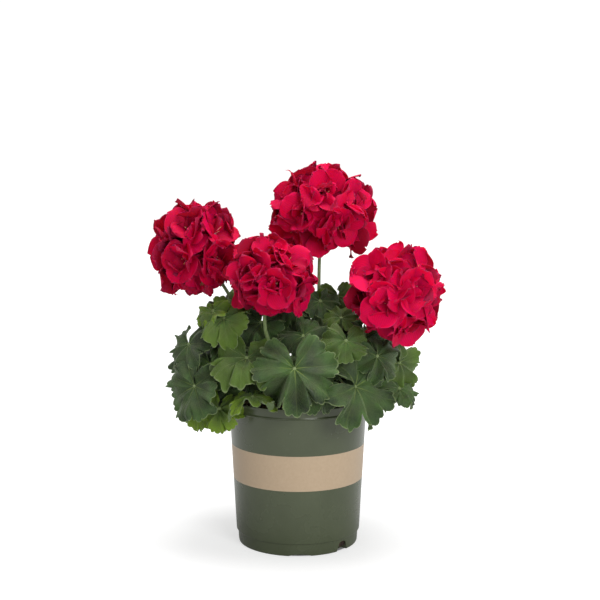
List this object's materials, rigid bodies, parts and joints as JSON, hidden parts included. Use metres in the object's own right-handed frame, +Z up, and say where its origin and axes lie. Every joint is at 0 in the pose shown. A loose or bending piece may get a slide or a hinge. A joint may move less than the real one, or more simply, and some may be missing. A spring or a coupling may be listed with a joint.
{
  "type": "potted geranium",
  "caption": "Round plastic nursery pot of potting mix with leafy geranium shoots and round heads of dark red flowers on long stalks.",
  "frame": {"origin": "on the ground at the middle of the pot's flat base", "axes": "+Z up along the pot's axis, -Y towards the side of the plant that faces a viewer, +X to that viewer's right"},
  "size_m": [0.3432, 0.2611, 0.453],
  "materials": {
    "pot_plastic": "satin",
    "potting_mix": "matte",
    "foliage": "matte",
    "petals": "matte"
  },
  "bodies": {
    "root": {"pot": "pot_plastic", "potting_mix": "potting_mix", "leafy_shoot_left": "foliage", "flower_head_left": "petals", "leafy_shoot_front": "foliage", "flower_head_front": "petals", "leafy_shoot_right": "foliage", "flower_head_right": "petals", "leafy_shoot_rear_right": "foliage", "flower_head_rear": "petals", "leafy_shoot_rear_left": "foliage"}
  },
  "joints": []
}
